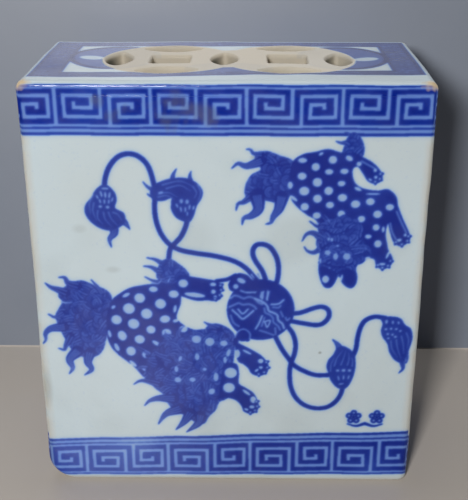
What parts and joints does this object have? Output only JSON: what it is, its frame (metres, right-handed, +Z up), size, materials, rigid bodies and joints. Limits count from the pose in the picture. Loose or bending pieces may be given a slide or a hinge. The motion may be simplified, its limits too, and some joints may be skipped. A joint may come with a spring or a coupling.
{
  "type": "brush holder pot",
  "caption": "Upright rectangular porcelain block, hollow, with a flat top pierced by linked coin shapes for standing brushes, on a flat foot.",
  "frame": {"origin": "centre of the underside, where the foot rests", "axes": "+Z up, +X along the width to the right, -Y towards the viewer of the main face"},
  "size_m": [0.127, 0.0636, 0.1435],
  "materials": {
    "printed_glaze": "glossy clear glaze over cobalt print",
    "coin_glaze": "thin cream glaze with cobalt print round it",
    "biscuit_foot": "unglazed, matt",
    "luting_clay": "unglazed, finger-smoothed"
  },
  "bodies": {
    "root": {"front_slab": "printed_glaze", "back_slab": "printed_glaze", "left_end_slab": "printed_glaze", "right_end_slab": "printed_glaze", "pierced_top_slab": "coin_glaze", "base_slab": "biscuit_foot", "corner_coils": "luting_clay", "base_coil": "luting_clay"}
  },
  "joints": []
}
